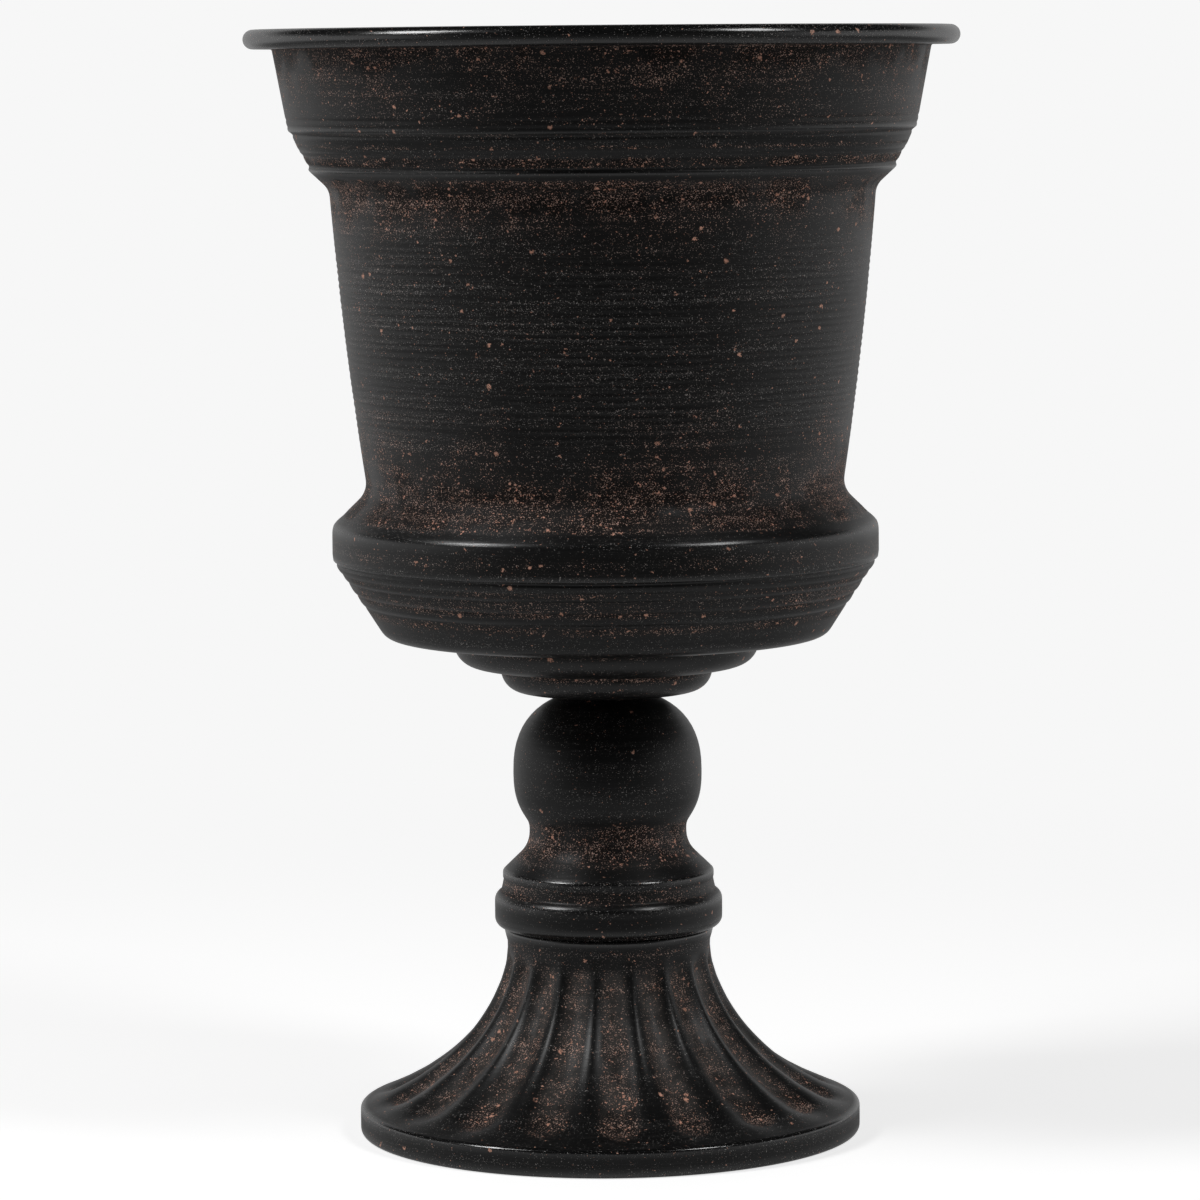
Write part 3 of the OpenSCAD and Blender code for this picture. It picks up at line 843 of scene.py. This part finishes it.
def spunGroup():  # fine streaks that run round the axis
    tree, takes, gives = newGroup(
        "spunStreaks",
        [("Vector", "NodeSocketVector", None), ("Fineness", "NodeSocketFloat", 1500.0),
         ("Length", "NodeSocketFloat", 40.0)],
        [("Streak", "NodeSocketFloat")])
    parts = addNode(tree, "ShaderNodeSeparateXYZ")
    tree.links.new(takes["Vector"], parts.inputs[0])
    stretched = addNode(tree, "ShaderNodeCombineXYZ")
    for k, factor in enumerate((takes["Length"], takes["Length"], takes["Fineness"])):
        tree.links.new(doMath(tree, "MULTIPLY", parts.outputs[k], factor), stretched.inputs[k])
    tree.links.new(noiseNode(tree, stretched.outputs[0], 1.0, 3.0, 0.6), gives["Streak"])
    return tree


flecks = fleckGroup(effectLook)
specks = speckGroup(effectLook)
spunStreaks = spunGroup()


def useGroup(tree, group, vector, **values):
    node = addNode(tree, "ShaderNodeGroup", node_tree=group)
    tree.links.new(vector, node.inputs["Vector"])
    for name, value in values.items():
        join(tree, value, node.inputs[name])
    return node.outputs


def newMaterial(name):
    material = bpy.data.materials.new(name)
    material.use_nodes = True
    tree = material.node_tree
    shader = tree.nodes["Principled BSDF"]
    place = addNode(tree, "ShaderNodeTexCoord").outputs["Object"]
    return material, tree, shader, place


def bumpFrom(tree, height, strength, distance, before=None):
    node = addNode(tree, "ShaderNodeBump")
    node.inputs["Strength"].default_value = strength
    node.inputs["Distance"].default_value = distance
    tree.links.new(height, node.inputs["Height"])
    if before is not None:
        tree.links.new(before, node.inputs["Normal"])
    return node.outputs[0]


# Black coat: satin black, brown dust and rust flecks left in the hollows, edges rubbed smooth

coatLook = {                          # ranges are from, to, and what they become from, to
    "black": (0.0046, 0.0047, 0.0048, 1),
    "film": (0.0135, 0.0108, 0.0096, 1),
    "filmClouds": (0.25, 0.75, 0.4, 1.2),
    "haze": (0.062, 0.057, 0.053, 1),
    "hazeClouds": (0.3, 0.65, 0.4, 1.2),
    # scuff tone along the spinning streaks: real scuffing, laid far more on the tool marks' ridges than in
    # their grooves, so the grooves come out darker as painted shade
    "scuffAndShadeTone": (0.045, 0.044, 0.043, 1),
    "scuffAndShadeOnMarks": 1.2,
    "scuffPlain": 0.28,
    "patchScale": 42.0,
    "cloudScale": 150.0,
    "grainScale": 2400.0,
    "streaks": {"Fineness": 1900.0, "Length": 85.0},
    "streakRange": (0.45, 0.70),
    "bands": {"Fineness": 420.0, "Length": 12.0},
    "bandRange": (0.30, 0.65),
    "uneven": (0.32, 0.68, 0.35, 1.65),
    "clumps": (0.35, 0.65, 0.5, 1.5),
    "faint": (0.085, 0.076, 0.071, 1),  # outer part of a fine speck, whose core is grey, or pink in dust
    "grey": (0.42, 0.40, 0.385, 1),
    "pink": (0.80, 0.53, 0.43, 1),
    "pinkDust": (0.05, 0.5),
    "fineScale": 2000.0,
    "fineLevels": (0.665, 0.60),      # the noise level that specks stand above, where clean and where dusty
    "bandPull": -0.25,                # how far bands and tool marks move that level
    "markPull": -0.05,
    "rust": (0.58, 0.28, 0.19, 1),    # a larger fleck runs from rust to salmon in its core
    "salmon": (1.0, 0.56, 0.41, 1),
    "middleScale": 830.0,
    "middleLevels": (0.722, 0.655),
    "coarse": {"Scale": 450.0, "Size": 0.5, "Ragged": 0.95, "Flatness": 1.1},
    "coarseDensity": (0.05, 1.0, 0.03, 0.13),
    "whole": (0.36, 0.52, 0.35, 1.0),  # the grain breaks the larger flecks up
    "roughness": 0.40,
    "dustRange": (0.2, 0.9),
    "roughChanges": (0.12, 0.2, -0.26, 0.08),  # where dusty, flecked, rubbed and cloudy
    "dustyGloss": (0.5, 1.1, 0.34, 0.13),
    "rubbedGloss": 0.65,
    "bumps": ((0.2, 0.0003), (0.15, 0.0001), (0.35, 0.00008)),  # streaks, grain and flecks
}


def coatMaterial(look):
    material, tree, shader, place = newMaterial("blackCoat")
    dust, rubbed, mark, haze = (addNode(tree, "ShaderNodeAttribute", attribute_name=name).outputs["Fac"]
                                for name in ("dust", "rubbed", "mark", "haze"))
    patches = noiseNode(tree, place, look["patchScale"], 5.0, 0.65)
    clouds = noiseNode(tree, place, look["cloudScale"], 3.0, 0.6)
    grain = noiseNode(tree, place, look["grainScale"])
    streak = useGroup(tree, spunStreaks, place, **look["streaks"])["Streak"]
    bands = useGroup(tree, spunStreaks, place, **look["bands"])["Streak"]
    kept = doMath(tree, "SUBTRACT", 1.0, rubbed)
    dusty = multiply(tree, dust, mapRange(tree, patches, *look["uneven"]), kept)
    clumped = multiply(tree, dusty, mapRange(tree, clouds, *look["clumps"]))

    film = multiply(tree, dusty, mapRange(tree, clouds, *look["filmClouds"]))
    colour = mixColour(tree, film, look["black"], look["film"])
    powder = multiply(tree, haze, mapRange(tree, clouds, *look["hazeClouds"]))
    colour = mixColour(tree, powder, colour, look["haze"])
    streaky = multiply(tree, mapRange(tree, streak, *look["streakRange"]),
                       mapRange(tree, bands, *look["bandRange"]))
    # streak scuff, much stronger on the tool marks' ridges; the grooves left darker are painted shade
    scuffAndShadeShare = doMath(tree, "MULTIPLY_ADD", mark, look["scuffAndShadeOnMarks"], look["scuffPlain"])
    colour = mixColour(tree, multiply(tree, streaky, scuffAndShadeShare, kept), colour, look["scuffAndShadeTone"])

    level = mapRange(tree, clumped, 0.0, 1.0, *look["fineLevels"], kind="LINEAR")
    level = doMath(tree, "MULTIPLY_ADD", doMath(tree, "SUBTRACT", bands, 0.5), look["bandPull"], level)
    level = doMath(tree, "MULTIPLY_ADD", mark, look["markPull"], level)
    fine = useGroup(tree, specks, place, Scale=look["fineScale"], Level=level)
    tone = mixColour(tree, mapRange(tree, dusty, *look["pinkDust"]), look["grey"], look["pink"])
    tone = mixColour(tree, fine["Core"], look["faint"], tone)
    colour = mixColour(tree, fine["Mask"], colour, tone)

    level = mapRange(tree, clumped, 0.0, 1.0, *look["middleLevels"], kind="LINEAR")
    middle = useGroup(tree, specks, place, Scale=look["middleScale"], Level=level)
    density = mapRange(tree, clumped, *look["coarseDensity"], kind="LINEAR")
    coarse = useGroup(tree, flecks, place, Density=density, **look["coarse"])
    whole = mapRange(tree, grain, *look["whole"])
    for mask, core in ((middle["Mask"], middle["Core"]), (coarse["Mask"], coarse["Tint"])):
        tone = mixColour(tree, core, look["rust"], look["salmon"])
        colour = mixColour(tree, multiply(tree, mask, whole), colour, tone)
    tree.links.new(colour, shader.inputs["Base Color"])

    flecked = doMath(tree, "MAXIMUM", fine["Mask"], doMath(tree, "MAXIMUM", middle["Mask"], coarse["Mask"]))
    cloudy = doMath(tree, "SUBTRACT", clouds, 0.5)
    powdery = mapRange(tree, dusty, *look["dustRange"])
    rough = look["roughness"]
    for amount, change in zip((powdery, flecked, rubbed, cloudy), look["roughChanges"]):
        rough = doMath(tree, "MULTIPLY_ADD", amount, change, rough)
    tree.links.new(rough, shader.inputs["Roughness"])
    gloss = mapRange(tree, dusty, *look["dustyGloss"])
    gloss = doMath(tree, "MULTIPLY_ADD", rubbed, look["rubbedGloss"], gloss)
    tree.links.new(gloss, shader.inputs["Specular IOR Level"])
    normal = None
    for height, bump in zip((streak, grain, flecked), look["bumps"]):
        normal = bumpFrom(tree, height, *bump, normal)
    tree.links.new(normal, shader.inputs["Normal"])
    return material


# Steel and rubber of the clamp

steelLook = {
    "zincSteel": ((0.56, 0.57, 0.58, 1), (0.40, 0.41, 0.41, 1), 0.26),  # colour, worn colour, roughness
    "plateSteel": ((0.27, 0.27, 0.28, 1), (0.16, 0.14, 0.13, 1), 0.38),
    "cloudScale": 260.0,
    "wornRange": (0.4, 0.7),
    "streaks": {"Fineness": 2600.0, "Length": 160.0},
    "roughStreak": 0.25,
    "roughWorn": 0.12,
    "bump": (0.12, 0.0001),
}


def steelMaterial(name, look):
    material, tree, shader, place = newMaterial(name)
    colour, dull, roughness = look[name]
    clouds = noiseNode(tree, place, look["cloudScale"], 4.0, 0.6)
    streak = useGroup(tree, spunStreaks, place, **look["streaks"])["Streak"]
    worn = mapRange(tree, clouds, *look["wornRange"])
    tree.links.new(mixColour(tree, worn, colour, dull), shader.inputs["Base Color"])
    rough = doMath(tree, "MULTIPLY_ADD", streak, look["roughStreak"], roughness)
    rough = doMath(tree, "MULTIPLY_ADD", worn, look["roughWorn"], rough)
    tree.links.new(rough, shader.inputs["Roughness"])
    shader.inputs["Metallic"].default_value = 1.0
    tree.links.new(bumpFrom(tree, streak, *look["bump"]), shader.inputs["Normal"])
    return material


rubberLook = {
    "dark": (0.012, 0.012, 0.012, 1),
    "pale": (0.030, 0.029, 0.028, 1),
    "cloudScale": 400.0,
    "grainScale": 3000.0,
    "rough": (0.3, 0.7, 0.72, 0.88),
    "bump": (0.2, 0.0001),
}


def rubberMaterial(look):
    material, tree, shader, place = newMaterial("blackRubber")
    clouds = noiseNode(tree, place, look["cloudScale"], 3.0, 0.6)
    grain = noiseNode(tree, place, look["grainScale"])
    tree.links.new(mixColour(tree, clouds, look["dark"], look["pale"]), shader.inputs["Base Color"])
    tree.links.new(mapRange(tree, clouds, *look["rough"]), shader.inputs["Roughness"])
    tree.links.new(bumpFrom(tree, grain, *look["bump"]), shader.inputs["Normal"])
    return material


def dress(material, *pieces):
    for piece in pieces:
        piece.data.materials.clear()
        piece.data.materials.append(material)


blackCoat = coatMaterial(coatLook)
zincSteel = steelMaterial("zincSteel", steelLook)
plateSteel = steelMaterial("plateSteel", steelLook)
blackRubber = rubberMaterial(rubberLook)
dress(blackCoat, bowlShell, stemShell, footShell)
dress(zincSteel, tieRod, topWasher, springWasher, topNut, bottomNut)
dress(plateSteel, clampPlate)
dress(blackRubber, sealingWasher, bowlGasket)
print("materials done")


# Stage, lights and camera

backdrop = (0.93, 0.93, 0.93, 1)  # as the camera sees it

floorLook = {
    "radius": 30.0,
    "segments": 96,
    "roughness": 0.9,
    "tone": (0.75, 0.75, 0.75, 1),
    "bounce": (0.50, 0.50, 0.50, 1),  # what the dark coat sees of the floor
    "lift": 0.72,                     # the floor's own light as the camera sees it, and as the coat does
    "glow": 0.19,
    "fade": (0.2, 0.95),              # the floor fades into the backdrop between these distances
}


def buildFloor(look):
    bm = bmesh.new()
    bmesh.ops.create_circle(bm, cap_ends=True, segments=look["segments"], radius=look["radius"])
    floor = addObject("floor", meshFrom("floor", bm))
    material, tree, shader, place = newMaterial("paleFloor")
    seen = addNode(tree, "ShaderNodeLightPath").outputs["Is Camera Ray"]
    tree.links.new(mixColour(tree, seen, look["bounce"], look["tone"]), shader.inputs["Base Color"])
    shader.inputs["Roughness"].default_value = look["roughness"]
    shader.inputs["Specular IOR Level"].default_value = 0.0
    shader.inputs["Emission Color"].default_value = backdrop
    lift = mapRange(tree, seen, 0.0, 1.0, look["glow"], look["lift"], "LINEAR")
    tree.links.new(lift, shader.inputs["Emission Strength"])
    away = addNode(tree, "ShaderNodeVectorMath", operation="LENGTH")
    tree.links.new(place, away.inputs[0])
    fade = mapRange(tree, away.outputs["Value"], *look["fade"])
    glow = addNode(tree, "ShaderNodeEmission")
    glow.inputs["Color"].default_value = backdrop
    clear = addNode(tree, "ShaderNodeBsdfTransparent")
    far = mixShader(tree, seen, clear.outputs[0], glow.outputs[0])
    surface = mixShader(tree, fade, shader.outputs[0], far)
    tree.links.new(surface, tree.nodes["Material Output"].inputs["Surface"])
    dress(material, floor)


roomLook = {                          # what the coat reflects: brightness, by where a direction points
    "front": 0.045,
    "side": 0.7,
    "back": 0.45,
    "turn": (-0.8, -0.1),             # Y over which front changes into side, and side into back
    "fall": (0.6, 0.99),
    "rise": (0.12, 0.46),             # Z over which the walls end above
    "above": 0.02,
    "lean": -0.35,                    # the wall behind reaches higher by this much
    "below": 0.15,
    "dip": (-0.15, -0.4),
}


def buildRoom(look):
    world = bpy.data.worlds.new("studio")
    bpy.context.scene.world = world
    world.use_nodes = True
    tree = world.node_tree
    tree.nodes.clear()
    way = addNode(tree, "ShaderNodeSeparateXYZ")
    tree.links.new(addNode(tree, "ShaderNodeTexCoord").outputs["Generated"], way.inputs[0])
    turned = mapRange(tree, way.outputs[1], *look["turn"], look["front"], look["side"])
    behind = mapRange(tree, way.outputs[1], *look["fall"])
    fallen = doMath(tree, "MULTIPLY_ADD", behind, look["back"] / look["side"] - 1, 1.0)
    height = doMath(tree, "MULTIPLY_ADD", behind, look["lean"], way.outputs[2])
    above = mapRange(tree, height, *look["rise"], 1.0, 0.0)
    below = mapRange(tree, way.outputs[2], *look["dip"])
    wall = doMath(tree, "MULTIPLY_ADD", doMath(tree, "MULTIPLY", turned, fallen), above, look["above"])
    room = addNode(tree, "ShaderNodeBackground")
    strength = mapRange(tree, below, 0.0, 1.0, wall, look["below"], "LINEAR")
    tree.links.new(strength, room.inputs["Strength"])
    room.inputs["Color"].default_value = (1, 1, 1, 1)
    seenSky = addNode(tree, "ShaderNodeBackground")
    seenSky.inputs["Color"].default_value = backdrop
    seen = addNode(tree, "ShaderNodeLightPath").outputs["Is Camera Ray"]
    surface = mixShader(tree, seen, room.outputs[0], seenSky.outputs[0])
    tree.links.new(surface, addNode(tree, "ShaderNodeOutputWorld").inputs[0])


lightLook = {  # azimuth from the front towards +X, elevation, distance, width, height, watts
    "frontLeft": (-72, 47, 2.1, 0.55, 0.7, 16),
    "frontRight": (57, 47, 2.1, 0.4, 0.6, 9),
}


def softLight(name, azimuth, up, away, width, tall, watts):
    light = bpy.data.lights.new(name, "AREA")
    light.shape = "RECTANGLE"
    light.size, light.size_y = width, tall
    light.energy = watts
    lamp = addObject(name, light)
    aim = Vector((0, 0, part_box("bowl")[0].z))
    turn, rise = math.radians(azimuth), math.radians(up)
    way = Vector((math.cos(rise) * math.sin(turn), -math.cos(rise) * math.cos(turn), math.sin(rise)))
    lamp.location = aim + way * away
    lamp.rotation_mode = "QUATERNION"
    lamp.rotation_quaternion = (-way).to_track_quat("-Z", "Y")


cameraLook = {                        # from the fit of the ellipses of rim, belt and foot
    "pictureSide": 1200,
    "focalPixels": 5310,
    "away": 1.9119,
    "height": 0.38825,
    "side": -0.0022,
    "tiltDown": 5.807,
    "roll": -0.48,
}


def placeCamera(look):
    data = bpy.data.cameras.new("camera")
    data.sensor_fit = "HORIZONTAL"
    data.sensor_width = 36
    data.lens = data.sensor_width * look["focalPixels"] / look["pictureSide"]
    camera = addObject("camera", data)
    tilt = Matrix.Rotation(math.radians(90 - look["tiltDown"]), 4, "X")
    roll = Matrix.Rotation(math.radians(look["roll"]), 4, "Z")
    camera.matrix_world = Matrix.Translation((look["side"], -look["away"], look["height"])) @ tilt @ roll
    bpy.context.scene.camera = camera


buildFloor(floorLook)
buildRoom(roomLook)
for lightName, values in lightLook.items():
    softLight(lightName, *values)
placeCamera(cameraLook)
bpy.context.scene.view_settings.view_transform = "Standard"
print("stage, lights and camera done")
